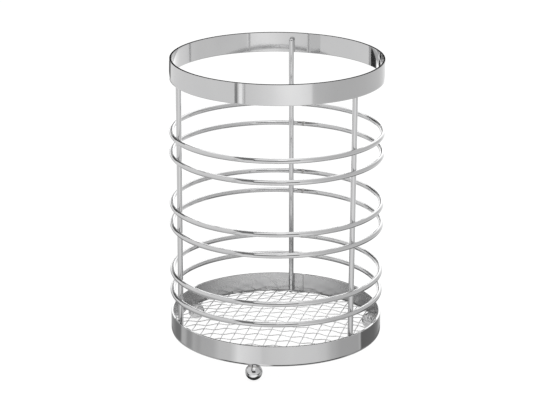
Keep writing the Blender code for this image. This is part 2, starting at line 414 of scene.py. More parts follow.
@dataclass(frozen=True)
class ChromePlate:
    """Bright nickel and chrome plate on steel: a neutral grey mirror.

    The plate follows the steel below it, so drawing and rolling lines show
    faintly along the piece, polishing leaves a soft ripple, and a weld leaves a
    duller, darker halo.

    Attributes:
        name: Material name.
        bright: The plate's reflectance where it is thick.
        thin: Its reflectance where it is thinner.
        burnt_and_edge_shade: Its reflectance on a weld, which the heat darkens, and on a strip's upper edge,
            where it is painted shade: a dark line that stands in for the dark reflection there.
        gloss: Roughness of clean plate, lowest and highest.
        haze: Roughness over a weld.
        line_pitch: Spacing of the drawn lines, coarser than real so that they show.
        line_depth: Height of the drawn lines.
        line_length: How many times longer than their spacing they are.
        ripple_pitch: Spacing of the polishing ripple.
        ripple_depth: Height of the ripple.
        cloud: Spacing of the patches of thick and thin plate.
        burnt_from: Heat from which the plate starts to take that darker colour.
    """

    name: str
    bright: str = "#D2D2D2"
    thin: str = "#CBCBCC"
    burnt_and_edge_shade: str = "#AAA8A6"
    gloss: Pair = (0.04, 0.07)
    haze: float = 0.22
    line_pitch: float = 0.35 * MM
    line_depth: float = 0.0006 * MM
    line_length: float = 60.0
    ripple_pitch: float = 4.0 * MM
    ripple_depth: float = 0.003 * MM
    cloud: float = 14.0 * MM
    burnt_from: float = 0.6

    def build(self) -> Material:
        """Build the node material.

        Returns:
            The material, which reads Object coordinates, the lay and the weld heat.
        """
        material = bpy.data.materials.new(self.name)
        material.use_nodes = True
        tree = material.node_tree
        shader = tree.nodes["Principled BSDF"]
        shader.inputs["Metallic"].default_value = 1.0
        place = add_node(tree, "TexCoord", give="Object")
        lay = add_node(tree, "UVMap", uv_map=LAY)
        heat = add_node(tree, "Attribute", give="Fac", attribute_name=WELD)
        clouds = add_node(tree, "TexNoise", {"Vector": place, "Scale": 1 / self.cloud, "Detail": 3.0})
        plates = {0: clouds, 6: linear(self.bright), 7: linear(self.thin)}
        tone = add_node(tree, "Mix", plates, 2, data_type="RGBA")
        # Welds take the darker colour, and so does the rim's upper edge, where it is a painted dark line
        # that stands in for a dark reflection
        scorch = add_node(tree, "MapRange", {"Value": heat, "From Min": self.burnt_from})
        burn = add_node(tree, "Mix", {0: scorch, 6: tone, 7: linear(self.burnt_and_edge_shade)}, 2, data_type="RGBA")
        tree.links.new(burn, shader.inputs["Base Color"])
        # The noise lies mostly between 0.3 and 0.7
        low, high = self.gloss
        shine = {"Value": clouds, "From Min": 0.3, "From Max": 0.7, "To Min": low, "To Max": high}
        polish = add_node(tree, "MapRange", shine)
        matt = add_node(tree, "Math", {0: heat, 1: scorch}, operation="SUBTRACT", use_clamp=True)
        dull = add_node(tree, "Mix", {0: matt, 2: polish, 3: self.haze})
        tree.links.new(dull, shader.inputs["Roughness"])
        # Lines run along the piece: fine across it and many times longer along it
        stretch = (1 / (self.line_length * self.line_pitch), 1 / self.line_pitch, 1.0)
        drawn = add_node(tree, "Mapping", {"Vector": lay, "Scale": stretch})
        lines = add_node(tree, "TexNoise", {"Vector": drawn, "Scale": 1.0, "Detail": 2.0})
        ripple = add_node(tree, "TexNoise", {"Vector": place, "Scale": 1 / self.ripple_pitch, "Detail": 1.0})
        first = add_node(tree, "Bump", {"Height": ripple, "Distance": self.ripple_depth})
        relief = {"Height": lines, "Distance": self.line_depth, "Normal": first}
        tree.links.new(add_node(tree, "Bump", relief), shader.inputs["Normal"])
        return material


def add_object(name: str, data: bpy.types.ID) -> Object:
    """Put an object into the scene, at the origin.

    Args:
        name: Its name.
        data: Its mesh, lamp or camera.

    Returns:
        The object.
    """
    added = bpy.data.objects.new(name, data)
    bpy.context.scene.collection.objects.link(added)
    return added


def add_piece(node: str, form: str, shells: list[Shell], finish: Material) -> None:
    """Put a piece into the scene in place of its CAD node.

    Args:
        node: The CAD node that it stands for, with which its own name starts.
        form: What it is, with which its name ends.
        shells: The piece's closed surfaces.
        finish: Its material.
    """
    name = f"{node}_{form}"
    shell = joined(shells)
    piece = add_object(name, as_mesh(name, shell))
    piece.data.materials.append(finish)
    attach(piece, BODY)
    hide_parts(node)
    LOG.info("%s for %s: %d faces in %d shells", name, node, len(shell.sizes), len(shells))


# Sub-assemblies

@dataclass
class Strip:
    """A flat strip rolled into a hoop and butt welded.

    Attributes:
        node: CAD node that it stands for.
        lower_edge: Height of its lower edge.
        seam: Azimuth of the butt weld, in degrees.
        flats: Azimuth and width in degrees of each short flat that the rolls left.
        top_round: Rounding of the two upper edges.
        bottom_round: Rounding of the two lower edges, across and up.
        crown: How far each wall bulges between its edges.
        lean: How far the upper edge stands in from the lower one.
        groove_depth: Depth of the groove along the butt weld.
        groove_width: Its half width.
        stitch: Spacing of the spots along the groove.
        stitch_swing: Swing of its depth from spot to spot, as a share of the deepest.
        weld_heat: How dull the weld left the plate, 0 to 1.
        weld_reach: How far to each side of the weld that goes.
        inner_haze: How matt its inner wall is left, 0 to 1.
        edge_painted_shade: How far its upper edge is painted dark, 0 to 1: painted shade, a dark line that
            stands in for the dark reflection along that edge.
        steps: How many even steps round it.
        weld_steps: Half width in degrees and how many more steps, at the weld.
        flat_steps: The same at each end of a flat.
    """

    node: str
    lower_edge: float
    seam: float
    flats: Table
    top_round: float = 0.2 * MM
    bottom_round: Pair = (0.5 * MM, 0.5 * MM)
    crown: float = 0.012 * MM
    lean: float = 0.0
    groove_depth: float = 0.06 * MM
    groove_width: float = 0.2 * MM
    stitch: float = 1.5 * MM
    stitch_swing: float = 0.4
    weld_heat: float = 0.8
    weld_reach: float = 0.8 * MM
    inner_haze: float = 0.0
    edge_painted_shade: float = 1.0
    steps: int = 640
    weld_steps: tuple[float, int] = (3.0, 41)
    flat_steps: tuple[float, int] = (0.8, 15)

    def section(self) -> tuple[np.ndarray, np.ndarray]:
        """Return the strip's section and its outward normals, in the radial plane.

        Each edge is a quarter of an ellipse, and each wall is a shallow parabola with
        its points close together next to the edges.

        Returns:
            Places from the strip's mid radius and lower edge, and unit normals.
        """
        half, high = CAGE.band_wall / 2, CAGE.band_height
        top, (bottom, rise) = self.top_round, self.bottom_round
        quarter = np.linspace(0, pi / 2, 7)
        wall = np.concatenate(([0.004, 0.02], np.linspace(0.1, 0.9, 9), [0.98, 0.996]))
        corners = (
            (half - top, high - top, (top, top)),
            (half - bottom, rise, (bottom, rise)),
            (bottom - half, rise, (bottom, rise)),
            (top - half, high - top, (top, top)),
        )
        places, normals = [], []
        for turn, (x, z, edge) in enumerate(corners):
            angle = quarter + turn * pi / 2
            unit = np.stack((np.sin(angle), np.cos(angle)), axis=1)
            places.append(np.array((x, z)) + edge * unit)
            normals.append(unit)
            if turn in (0, 2):
                side = 1 if turn == 0 else -1
                share = wall if side == -1 else wall[::-1]
                z_wall = rise + share * (high - rise - top)
                x_wall = side * (half + self.crown * 4 * share * (1 - share))
                places.append(np.stack((x_wall, z_wall), axis=1))
                normals.append(np.tile((float(side), 0.0), (len(share), 1)))
        flat = (half - top) * np.array((-0.97, -0.9, 0.9, 0.97))
        places.append(np.stack((flat, np.full(4, high)), axis=1))
        normals.append(np.tile((0.0, 1.0), (4, 1)))
        return np.vstack(places), np.vstack(normals)

    def radius_at(self, azimuth: np.ndarray) -> np.ndarray:
        """Return the mid radius, less where a flat cuts the circle.

        A flat of half width h is a chord, whose radius at an angle a from its
        middle is R·cos(h)/cos(a).

        Args:
            azimuth: Azimuths in radians.

        Returns:
            The radius at each azimuth.
        """
        radius = np.full_like(azimuth, CAGE.band_outer_radius - CAGE.band_wall / 2)
        for centre, width in self.flats:
            half = radians(width / 2)
            away = np.clip(np.abs(arc_from(azimuth, radians(centre), 1.0)), 0.0, half)
            chord = np.cos(half) / np.cos(away)
            radius *= np.where(away < half, chord, 1.0)
        return radius

    def build(self, finish: Material) -> None:
        """Carry the section round the axis and groove it at the butt weld.

        A point is out·(R + x + n·g - lean·z/H) + up·(z + m·g), where x, z and
        n, m are the section's place and normal, H is the strip's height and g is
        the weld's groove, a bell across the seam that a cosine stitches along it.

        Args:
            finish: The plate.
        """
        dense = [(self.seam, *self.weld_steps)]
        for centre, width in self.flats:
            dense += [(centre + side * width / 2, *self.flat_steps) for side in (-1, 1)]
        azimuth = stations(self.steps, dense)
        places, normals = self.section()
        (x, z), (n, m) = places.T, normals.T
        away = arc_from(azimuth, radians(self.seam), CAGE.band_outer_radius)
        stitched = 1 - self.stitch_swing + self.stitch_swing * np.cos(tau * z / self.stitch)
        groove = -self.groove_depth * bump(away, self.groove_width)[:, None] * stitched
        radial = self.radius_at(azimuth)[:, None] + x + n * groove - self.lean * z / CAGE.band_height
        grid = around(azimuth)[:, None, :] * radial[..., None]
        grid[..., 2] = self.lower_edge + z + m * groove
        # Only the inner wall's normals point at the axis
        inner = np.where(n < -0.9, self.inner_haze, 0.0)
        # Painted shade: the upper edges take the plate's darkest colour, a dark line that stands in for the
        # dark reflection along them
        edge = np.where(z > CAGE.band_height - self.top_round, self.edge_painted_shade, 0.0)
        weld = self.weld_heat * bump(away, self.weld_reach)
        heat = np.maximum(weld[:, None], np.maximum(inner, edge))
        rows = np.append(azimuth, azimuth[0] + tau) * CAGE.band_outer_radius
        shell = skin(grid, rows, length_along(np.vstack((places, places[:1]))), heat)
        add_piece(self.node, "strip", [shell], finish)


@dataclass
class Hoop:
    """A wire ring closed by a butt weld.

    Attributes:
        number: 1 at the top to 6 at the bottom.
        height: Height of its centre.
        butt: Azimuth of the butt weld, in degrees.
        dip: Half of how far its radius dips, as bent wire does.
        sway: How far it rises and falls.
        phase: How far its waves are turned from those of the hoop above, in radians.
        sway_phase: How many times as far the second wave is turned.
        swell: How much thicker the weld left the wire, as a share, and how far that goes.
        notch: How much thinner it is in the middle of the weld, and how far that goes.
        weld_reach: How far to each side the weld left the plate dull.
        steps: How many even steps round it.
        weld_steps: Half width in degrees and how many more steps, at the weld.
        sides: How many steps round the wire.
    """

    number: int
    height: float
    butt: float
    dip: float = 0.05 * MM
    sway: float = 0.06 * MM
    phase: float = 1.7
    sway_phase: float = 2.3
    swell: Pair = (0.05, 0.9 * MM)
    notch: Pair = (0.08, 0.2 * MM)
    weld_reach: float = 1.2 * MM
    steps: int = 400
    weld_steps: tuple[float, int] = (4.0, 41)
    sides: int = 24

    def build(self, finish: Material) -> None:
        """Carry a round section round the axis.

        The ring's radius and height follow two slow waves. The section swells
        at the butt weld and has a fine notch in its middle. A point is
        out·(R + r·sin(q)) + up·(z + r·cos(q)).

        Args:
            finish: The plate.
        """
        azimuth = stations(self.steps, [(self.butt, *self.weld_steps)])
        away = arc_from(azimuth, radians(self.butt), CAGE.hoop_radius)
        phase = self.phase * self.number
        ring = CAGE.hoop_radius - self.dip * (1 - np.cos(2 * azimuth + phase))
        rise = self.height + self.sway * np.sin(2 * azimuth + self.sway_phase * phase)
        swell, notch = (share * bump(away, reach) for share, reach in (self.swell, self.notch))
        wire = CAGE.hoop_diameter / 2 * (1 + swell - notch)
        turn, columns = circle(self.sides, CAGE.hoop_diameter / 2)
        radial = ring[:, None] + wire[:, None] * np.sin(turn)
        grid = around(azimuth)[:, None, :] * radial[..., None]
        grid[..., 2] = rise[:, None] + wire[:, None] * np.cos(turn)
        rows = np.append(azimuth, azimuth[0] + tau) * CAGE.hoop_radius
        shell = skin(grid, rows, columns, bump(away, self.weld_reach))
        add_piece(f"hoop_wire_{self.number}", "ring", [shell], finish)


@dataclass
class Upright:
    """A rod with sheared ends, welded to the bands and to each hoop.

    Attributes:
        side: Which one, as in its CAD node's name.
        azimuth: Its azimuth, in degrees.
        slip: How far round the cage its lower and its upper end stand off.
        lower_end: Height of its lower end.
        upper_end: Height of its upper end.
        end_round: Rounding of its ends.
        hoop_nugget: Half sizes of the weld at a hoop, out, round and up.
        band_nugget: Half sizes of a weld at a band.
        band_shares: Heights of a band's two welds, as shares of its own.
        band_gap: How far inside the band's wall their middles are.
        band_heat: How dull they are, 0 to 1.
        halo: How dull a hoop's weld left the rod, 0 to 1, and how far that goes.
        steps: How many heights its straight part has, with both its ends.
        sides: How many steps round it.
    """

    side: str
    azimuth: float
    slip: Pair
    lower_end: float = CAGE.base_edge + 0.3 * MM
    upper_end: float = CAGE.rim_edge - 3.0 * MM
    end_round: float = 1.2 * MM
    hoop_nugget: Triple = (0.8 * MM, 1.7 * MM, 1.7 * MM)
    band_nugget: Triple = (0.35 * MM, 0.5 * MM, 1.2 * MM)
    band_shares: Pair = (0.3, 0.7)
    band_gap: float = 0.15 * MM
    band_heat: float = 0.6
    halo: Pair = (0.12, 1.5 * MM)
    steps: int = 200
    sides: int = 28

    def centre(self, height: np.ndarray | float, radius: float) -> np.ndarray:
        """Return the points beside the rod's axis at some heights and one radius.

        Args:
            height: The heights, or one height.
            radius: The distance from the holder's axis.

        Returns:
            The points, moved round the cage by the rod's slip at each height.
        """
        azimuth = radians(self.azimuth)
        slip = np.interp(height, (self.lower_end, self.upper_end), self.slip)
        points = around(azimuth) * radius + np.multiply.outer(slip, around(azimuth + pi / 2))
        points[..., 2] = height
        return points

    def rod(self) -> Shell:
        """Return the rod: a circle carried up, drawn in over a quarter round at each end.

        Returns:
            The closed rod, duller near each weld.
        """
        radius = CAGE.upright_diameter / 2
        quarter = np.linspace(0, pi / 2, 6)
        inset = self.end_round * (1 - np.sin(quarter))
        drawn_in = radius - self.end_round * (1 - np.cos(quarter))
        low, high = self.lower_end + self.end_round, self.upper_end - self.end_round
        shaft = np.linspace(low, high, self.steps)[1:-1]
        heights = np.concatenate(((self.lower_end + inset)[::-1], shaft, self.upper_end - inset))
        radii = np.concatenate((drawn_in[::-1], np.full(len(shaft), radius), drawn_in))
        turn, columns = circle(self.sides, radius)
        centre = self.centre(heights, CAGE.upright_radius)
        grid = centre[:, None, :] + around(turn) * radii[:, None, None]
        haze, reach = self.halo
        heat = np.max([haze * bump(heights - weld, reach) for weld in CAGE.hoop_heights], axis=0)
        return skin(grid, heights, columns, heat, (centre[0], centre[-1]))

    def build(self, finish: Material) -> None:
        """Make the rod and its weld nuggets.

        Args:
            finish: The plate.
        """
        azimuth = radians(self.azimuth)
        crossing = (CAGE.upright_radius + CAGE.hoop_radius) / 2
        shells = [self.rod()]
        for height in CAGE.hoop_heights:
            shells.append(nugget(self.centre(height, crossing), azimuth, self.hoop_nugget))
        wall = CAGE.band_inner_radius - self.band_gap
        for edge in (CAGE.base_edge, CAGE.rim_edge - CAGE.band_height):
            for share in self.band_shares:
                centre = self.centre(edge + share * CAGE.band_height, wall)
                shells.append(nugget(centre, azimuth, self.band_nugget, heat=self.band_heat))
        add_piece(f"upright_{self.side}", "rod", shells, finish)


@dataclass
class BallFoot:
    """A ball welded under the base band, with a worn flat under it.

    Attributes:
        side: Which one, as in its CAD node's name.
        azimuth: Its azimuth, in degrees.
        diameter: Of the ball.
        worn: Depth of the worn flat.
        centre_radius: Of the ball's centre from the axis.
        bead: Half sizes of the weld bead, out, round and up.
        bead_steps: How many steps round the bead.
        weld_reach: How far up and down from its seat the weld left the plate dull.
        rings: How many rings the ball has from the flat's rim up.
        flat_shares: Radius of each ring across the flat, as a share of the flat's.
        sides: How many steps round it.
    """

    side: str
    azimuth: float
    diameter: float = 9.5 * MM
    worn: float = 0.1 * MM
    centre_radius: float = 58.95 * MM
    bead: Triple = (1.1 * MM, 3.1 * MM, 0.5 * MM)
    bead_steps: int = 28
    weld_reach: float = 0.6 * MM
    rings: int = 48
    flat_shares: Triple = (0.4, 0.8, 0.97)
    sides: int = 72

    def build(self, finish: Material) -> None:
        """Turn the ball's half outline about its own upright axis, and lay the bead.

        The outline is (R·sin(a), -R·cos(a)) for angles a from the worn flat's
        rim to the top, after the rings across the flat.

        Args:
            finish: The plate.
        """
        radius = self.diameter / 2
        rise = np.linspace(np.arccos(1 - self.worn / radius), pi, self.rings + 1)[:-1]
        ball = np.stack((radius * np.sin(rise), -radius * np.cos(rise)), axis=1)
        flat = [(ball[0, 0] * share, ball[0, 1]) for share in self.flat_shares]
        outline = np.vstack((flat, ball))
        azimuth = radians(self.azimuth)
        foot = around(azimuth) * self.centre_radius
        middle = foot + UP * (radius - self.worn)
        turn, lay_round = circle(self.sides, radius)
        grid = middle + around(turn) * outline[:, None, :1] + UP * outline[:, None, 1:]
        heat = bump(outline[:, 1] - (CAGE.base_edge - middle[2]), self.weld_reach)
        poles = middle + UP * ball[0, 1], middle + UP * radius
        shell = skin(grid, length_along(outline), lay_round, heat, poles)
        bead = nugget(foot + UP * CAGE.base_edge, azimuth, self.bead, self.bead_steps)
        add_piece(f"foot_ball_{self.side}", "foot", [shell, bead], finish)


@dataclass
class WovenFloor:
    """A disc of woven wire, highest in the middle, cut round the uprights.

    A pair of values is for the warp wires and the weft wires.

    Attributes:
        wire: Wire diameter.
        crown: How much higher the middle is than the edge.
        reach: Radius that the wires' ends stay within.
        edge_height: Height of the wires' middles at that radius.
        pitch: Spacing of the wires of each set.
        heading: Which way each set runs, in degrees.
        start: How far wire 0 of each set is from the axis, in pitches.
        swing: How far each set of wires swings up and down at its crossings.
        clearance: Gap between a cut wire's end and an upright.
        end_reach: How far from its cut ends a wire is duller.
        steps: How many steps from one crossing to the next.
        fewest: How many steps a wire has at least.
        sides: How many steps round a wire.
    """

    wire: float = 0.55 * MM
    crown: float = 4.5 * MM
    reach: float = CAGE.band_inner_radius - 0.3 * MM
    edge_height: float = CAGE.base_edge + 1.2 * MM
    pitch: Pair = (6.47 * MM, 6.63 * MM)
    heading: Pair = (77.4, -7.8)
    start: Pair = (0.23, 0.24)
    swing: Pair = (0.16 * MM, 0.41 * MM)
    clearance: float = 0.3 * MM
    end_reach: float = 1.0 * MM
    steps: int = 9
    fewest: int = 8
    sides: int = 10

    def numbers(self, run: int) -> range:
        """Return the numbers of the wires that cross the disc at least a pitch long.

        Args:
            run: 0 for the warp wires, 1 for the weft wires.

        Returns:
            Their numbers, counted from the axis.
        """
        pitch, start = self.pitch[run], self.start[run]
        widest = np.sqrt(self.reach**2 - pitch**2) - self.wire / 2
        return range(ceil(-widest / pitch - start), floor(widest / pitch - start) + 1)

    def run_to_wall(self, offset: float, heading: float, sense: int) -> float:
        """Return how far a wire runs one way before the band or an upright.

        Args:
            offset: The wire's distance from the axis, to its left.
            heading: Its heading, in radians.
            sense: 1 forwards, -1 backwards.

        Returns:
            The length of the run.
        """
        along, across = around(heading), around(heading + pi / 2)
        run = np.sqrt(self.reach**2 - (abs(offset) + self.wire / 2) ** 2)
        keep_out = CAGE.upright_diameter / 2 + self.wire / 2 + self.clearance
        for _, azimuth in CAGE.upright_azimuths:
            rod = around(radians(azimuth)) * CAGE.upright_radius
            miss, ahead = abs(rod @ across - offset), (rod @ along) * sense
            if miss < keep_out and ahead > 0:
                run = min(run, ahead - np.sqrt(keep_out**2 - miss**2))
        return float(run)

    def wire_shell(self, index: int, run: int) -> Shell:
        """Make one crimped wire: a circle carried along a wave over the crown.

        The height is edge + crown·(1 - (r/reach)²) ± swing·cos(pi·t), where t
        counts crossings along the wire and the sign is the wire's set. The
        circle stands square to the wire, on the horizontal across it and on the
        cross product of the two.

        Args:
            index: The wire's number from the axis.
            run: 0 for a warp wire, 1 for a weft wire.

        Returns:
            The closed wire.
        """
        other = 1 - run
        side = -1 if run == 0 else 1
        heading = radians(self.heading[run])
        along, across = around(heading), around(heading + pi / 2)
        other_across = around(radians(self.heading[other]) + pi / 2) * -side
        square = along @ other_across
        offset = side * (index + self.start[run]) * self.pitch[run]
        spacing = self.pitch[other] / square
        first = (self.start[other] * self.pitch[other] - offset * (across @ other_across)) / square
        low = -self.run_to_wall(offset, heading, -1)
        high = self.run_to_wall(offset, heading, 1)
        count = max(self.fewest, int((high - low) / abs(spacing) * self.steps))
        at = np.linspace(low, high, count)
        lift = np.cos(pi * ((at - first) / spacing + index))
        centre = across * offset + along * at[:, None]
        share = np.clip(np.hypot(centre[:, 0], centre[:, 1]) / self.reach, 0, 1)
        centre[:, 2] = self.edge_height + self.crown * (1 - share**2) - side * lift * self.swing[run]
        forward = np.gradient(centre, at, axis=0)
        forward /= np.linalg.norm(forward, axis=1, keepdims=True)
        upward = np.cross(forward, across)
        turn, columns = circle(self.sides, self.wire / 2)
        ring = across * np.cos(turn)[:, None] + upward[:, None, :] * np.sin(turn)[:, None]
        grid = centre[:, None, :] + ring * self.wire / 2
        heat = bump(np.minimum(at - low, high - at), self.end_reach)
        return skin(grid, at, columns, heat, (centre[0], centre[-1]))

    def build(self, finishes: tuple[Material, Material]) -> None:
        """Make each wire of both sets.

        Args:
            finishes: The plate of the warp wires and of the weft wires.
        """
        for run, (kind, finish) in enumerate(zip(Run, finishes)):
            for number, index in enumerate(self.numbers(run), start=1):
                shells = [self.wire_shell(index, run)]
                add_piece(f"floor_{kind.value}_{number:02d}", "wire", shells, finish)


# Studio

@dataclass(frozen=True)
class Panel:
    """A flag or a light card, which only polished surfaces see.

    Attributes:
        name: Its name.
        tone: Its brightness, where 1 is white.
        turns: First and last angle round its pole from its start, in degrees.
        rises: First and last angle up towards its pole, in degrees.
        taper: How much less its upper side turns, as a share.
        distance: How far it hangs from the holder's foot.
        pole: The direction that it is turned about.
        start: The direction that its turns are counted from, square to the pole.
        steps: How many steps it has along it and up it.
    """

    name: str
    tone: float
    turns: Pair
    rises: Pair
    taper: float = 0.0
    distance: float = 2.5
    pole: Triple = (0.0, 0.0, 1.0)
    start: Triple = (0.0, -1.0, 0.0)
    steps: tuple[int, int] = (48, 8)

    def build(self) -> None:
        """Bend the panel round the holder.

        A point is distance·(cos(e)·(cos(a)·start + sin(a)·side) + sin(e)·pole),
        for turns a and rises e, where side is the pole's cross product with the start.
        """
        pole, start = np.array(self.pole), np.array(self.start)
        grids = (np.linspace(0, 1, count + 1) for count in self.steps)
        along, height = np.meshgrid(*grids, indexing="ij")
        (first, last), (low, high) = self.turns, self.rises
        turn = np.radians(first + (last - first) * along * (1 - self.taper * height))
        rise = np.radians(low + (high - low) * height)
        level = np.cos(turn)[..., None] * start + np.sin(turn)[..., None] * np.cross(pole, start)
        points = self.distance * (np.cos(rise)[..., None] * level + np.sin(rise)[..., None] * pole)
        spot = np.arange(turn.size).reshape(turn.shape)
        quads = np.stack((spot[:-1, :-1], spot[1:, :-1], spot[1:, 1:], spot[:-1, 1:]), axis=-1)
        mesh = bpy.data.meshes.new(self.name)
        mesh.from_pydata(points.reshape(-1, 3).tolist(), [], quads.reshape(-1, 4).tolist())
        material = bpy.data.materials.new(self.name)
        tree = cleared(material)
        glow = add_node(tree, "Emission", {"Strength": self.tone})
        add_node(tree, "OutputMaterial", {"Surface": glow})
        mesh.materials.append(material)
        panel = add_object(self.name, mesh)
        panel.visible_camera = False
        panel.visible_diffuse = False
        panel.visible_shadow = False
        panel.visible_transmission = False


@dataclass
class Studio:
    """A white sweep with soft light, and the cards and flags that chrome mirrors.

    Attributes:
        floor_reach: Radius of the floor disc.
        floor_sides: How many sides it has.
        floor_grey: How much of the lamp's light it gives back.
        floor_glow: How bright it is without the lamp.
        walls: Azimuth and brightness of the surroundings above the horizon.
        far_floor: The same for the floor that the rim's outside mirrors.
        mid_floor: The same for the floor that its inside mirrors.
        near_floor: The same for the floor next to the base, with painted streaks of light and shade.
        inner_floor: Radius in millimetres and brightness, below the mesh and the band: a painted shadow
            under them.
        foot_floor: Azimuth and brightness of the ring right under the base: a painted shadow, with a painted
            pool of light in front of the front ball.
        ball_floor: Azimuth and brightness of the floor beside the two rear balls: a painted shadow with
            painted lighter patches.
        rings: From the inside out, a ring's tones, the radii between which it takes
            over, and True if it goes by the azimuth where the base band mirrors it.
        panels: The cards and flags.
        ceiling_edge: Sines of the rises between which the walls give way to the ceiling.
        lamp_size: Width of the round soft box.
        lamp_power: Its power in watts.
        lamp_place: Where it hangs.
        lamp_tilt: How far it is turned about x and y, in degrees.
    """

    floor_reach: float = 6.0
    floor_sides: int = 96
    floor_grey: float = 0.14
    floor_glow: float = 0.9
    walls: Table = (
        (-180, 1.7), (-160, 1.6), (-150, 1.1), (-120, 0.93), (-60, 0.92), (-35, 0.9), (-15, 0.82),
        (10, 0.85), (40, 0.77), (60, 0.69), (140, 0.7), (152, 1.1), (160, 1.6), (180, 1.7),
    )
    far_floor: Table = (
        (-180, 1.5), (-176, 1.5), (-174, 0.14), (-154, 0.14), (-149, 0.9), (-120, 0.89), (-31, 0.88),
        (-20, 0.93), (-6, 1.02), (3, 1.12), (13, 1.17), (22, 1.16), (30, 1.09), (34.6, 1.03), (36.4, 0.76),
        (40, 0.7), (60, 0.64), (85, 0.64), (104, 0.67), (132, 0.73), (142, 0.81), (156, 0.96), (166, 1.1),
        (174, 1.5), (180, 1.5),
    )
    mid_floor: Table = (
        (-180, 1.5), (-170, 1.3), (-149, 0.9), (-120, 0.89), (-46, 0.87), (-45, 0.74), (-40, 0.74),
        (-39, 0.88), (-20, 0.92), (-6, 0.98), (3, 1.05), (13, 1.1), (22, 1.1), (30, 1.05), (34.6, 1.0),
        (36.4, 0.82), (45, 0.79), (60, 0.78), (104, 0.79), (116, 0.84), (126, 0.9), (142, 0.95), (152, 1.1),
        (162, 1.35), (180, 1.5),
    )
    near_floor: Table = (
        (-90, 1.0), (-88.5, 0.47), (-80, 0.37), (-70, 0.23), (-64.2, 0.24), (-62, 0.6), (-58.6, 0.6),
        (-55.8, 0.41), (-52.8, 0.43), (-50.2, 0.59), (-46, 0.52), (-43.5, 0.59), (-35.5, 0.62),
        (-31.5, 0.76), (-25, 0.78), (-22.2, 0.94), (-20.2, 1.1), (-8.6, 0.94), (-6.8, 0.84), (8, 0.91),
        (22, 0.88), (27.4, 0.8), (31.2, 0.64), (37, 0.53), (50.5, 0.51), (52.3, 0.62), (53.5, 0.17),
        (68, 0.19), (74, 0.26), (81, 0.5), (88.5, 0.66), (90, 1.0),
    )
    inner_floor: Table = (
        (0, 1.08), (14, 1.05), (26, 0.86), (34, 0.64), (42, 0.42), (49, 0.22), (55, 0.14), (60, 0.05),
        (64, 0.05),
    )
    foot_floor: Table = (
        (-90, 0.15), (-70, 0.3), (-50, 0.55), (-32, 0.5), (-28, 0.03), (-17, 0.03), (-14.5, 0.7),
        (-11, 1.3), (-6, 1.4), (-3.5, 1.0), (-1, 0.03), (38, 0.03), (44, 0.4), (60, 0.2), (90, 0.15),
    )
    ball_floor: Table = (
        (-180, 0.25), (-160, 0.16), (-137, 0.14), (-132, 0.85), (-112, 0.85), (-100, 0.65), (-22, 0.6),
        (-17, 0.05), (-7, 0.05), (-2, 0.6), (75, 0.6), (105, 0.7), (120, 0.7), (125, 0.14), (160, 0.16),
        (180, 0.25),
    )
    rings: tuple[tuple[Table, Pair, bool], ...] = (
        (ball_floor, (46.0 * MM, 52.0 * MM), False),
        (foot_floor, (64.0 * MM, 65.5 * MM), True),
        (near_floor, (68.5 * MM, 74.5 * MM), True),
        (mid_floor, (95.0 * MM, 330.0 * MM), False),
        (far_floor, (622.0 * MM, 634.0 * MM), False),
        (mid_floor, (850.0 * MM, 1000.0 * MM), False),
    )
    panels: tuple[Panel, ...] = (
        Panel("camera_side", 0.05, (-24.0, 24.0), (6.0, 30.0)),
        Panel(
            "boom", 0.22, (0.0, 94.5), (-7.0, 7.0),
            pole=(-0.893, 0.368, -0.258), start=(-0.441, -0.830, 0.342),
        ),
        Panel("key_card", 1.9, (1.0, 13.0), (45.0, 55.0)),
        Panel("back_flag", 0.02, (174.6, 185.2), (15.6, 19.5)),
        Panel("back_flag_top", 0.05, (176.4, 183.4), (19.5, 23.8)),
        Panel("top_card", 1.4, (-45.0, 45.0), (57.0, 80.0), distance=2.6),
        Panel("dark_corner", 0.12, (-134.0, -176.0), (22.0, 36.0), taper=0.25),
        Panel("dark_corner_foot", 0.14, (-134.0, -151.0), (13.0, 22.0)),
        Panel("grey_corner", 0.5, (-151.0, -173.0), (13.0, 22.0)),
        Panel("floor_flag", 0.04, (-129.2, -146.2), (1.0, 2.9), distance=500.0 * MM),
        Panel("floor_flag_top", 0.04, (-129.2, -146.2), (2.9, 3.7), taper=0.6, distance=500.0 * MM),
        Panel("floor_leaf", 0.06, (-155.0, -163.0), (2.3, 3.5), distance=500.0 * MM),
        Panel("floor_grey", 0.5, (-132.0, -153.0), (2.7, 3.7), distance=505.0 * MM),
        Panel("floor_card", 1.6, (-149.0, -163.0), (1.0, 2.4), taper=0.4, distance=505.0 * MM),
        Panel("stripe_flag", 0.32, (-40.6, -37.6), (16.0, 22.0), distance=315.0 * MM),
        Panel("stripe_card", 1.25, (-36.0, -33.0), (16.0, 22.0), distance=315.0 * MM),
        Panel("stripe_end", 0.62, (-31.4, -29.9), (16.0, 22.0), distance=315.0 * MM),
    )
    ceiling_edge: Pair = (0.76, 0.97)
    lamp_size: float = 0.9
    lamp_power: float = 6.0
    lamp_place: Triple = (0.1, -0.25, 1.3)
    lamp_tilt: Pair = (-11.0, 4.0)

    def around_axis(self, tree: NodeTree, place: NodeSocket) -> NodeSocket:
        """Return the share of a turn of a place round the axis: a half in front, 0 and 1 behind.

        The azimuth is the arc tangent of x and -y.

        Args:
            tree: The node tree.
            place: Place or direction from the holder's axis.

        Returns:
            The share of a turn, rising to the right.
        """
        right, away, _ = add_node(tree, "SeparateXYZ", {0: place}).node.outputs
        front = add_node(tree, "Math", {0: away, 1: -1.0}, operation="MULTIPLY")
        angle = add_node(tree, "Math", {0: right, 1: front}, operation="ARCTAN2")
        return add_node(tree, "MapRange", {"Value": angle, "From Min": -pi, "From Max": pi})

    def as_shares(self, table: Table) -> Table:
        """Return a table's stops with their places as shares from its first to its last."""
        first, last = table[0][0], table[-1][0]
        return tuple(((place - first) / (last - first), value) for place, value in table)

